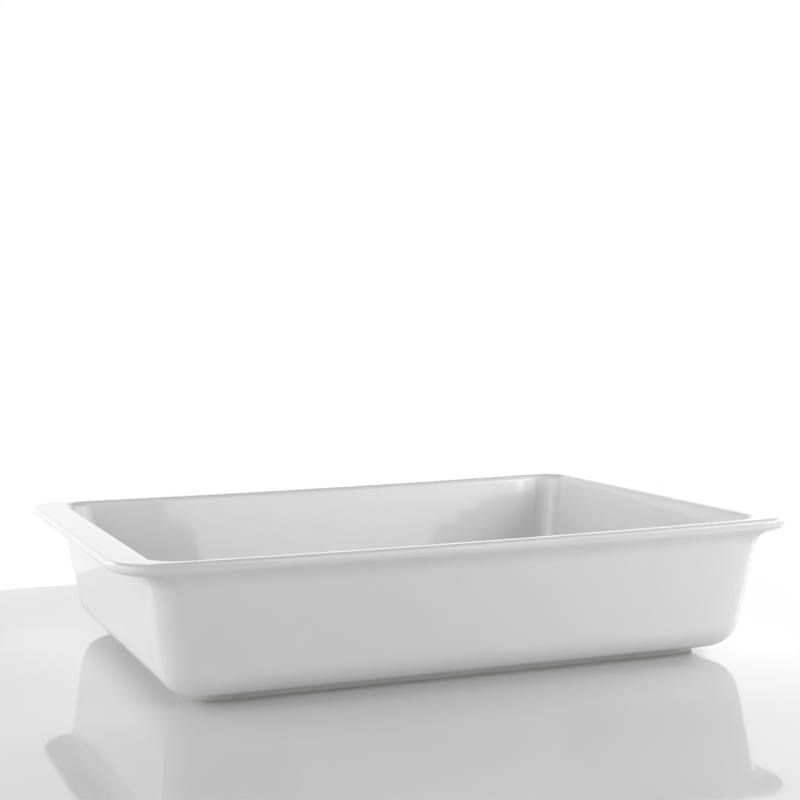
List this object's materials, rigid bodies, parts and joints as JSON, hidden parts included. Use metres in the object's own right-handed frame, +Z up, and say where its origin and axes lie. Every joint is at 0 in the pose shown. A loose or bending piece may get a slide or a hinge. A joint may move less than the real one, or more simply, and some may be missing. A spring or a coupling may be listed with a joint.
{
  "type": "lasagna dish",
  "caption": "Deep rectangular baking dish of glazed porcelain with leaning walls, a flat rim that widens into a grip at each short end, and an inset foot ring.",
  "frame": {"origin": "middle of the dish's footprint, on the surface that the foot ring stands on", "axes": "+X along the length from grip to grip, +Y across the width, +Z up out of the dish"},
  "size_m": [0.4, 0.29, 0.082],
  "materials": {
    "fired_porcelain": "matte, unglazed, slightly warm white",
    "white_glaze": "high gloss, neutral white"
  },
  "bodies": {
    "root": {"porcelain_body": "fired_porcelain", "glaze_coat": "white_glaze", "underside_glaze": "white_glaze"}
  },
  "joints": []
}
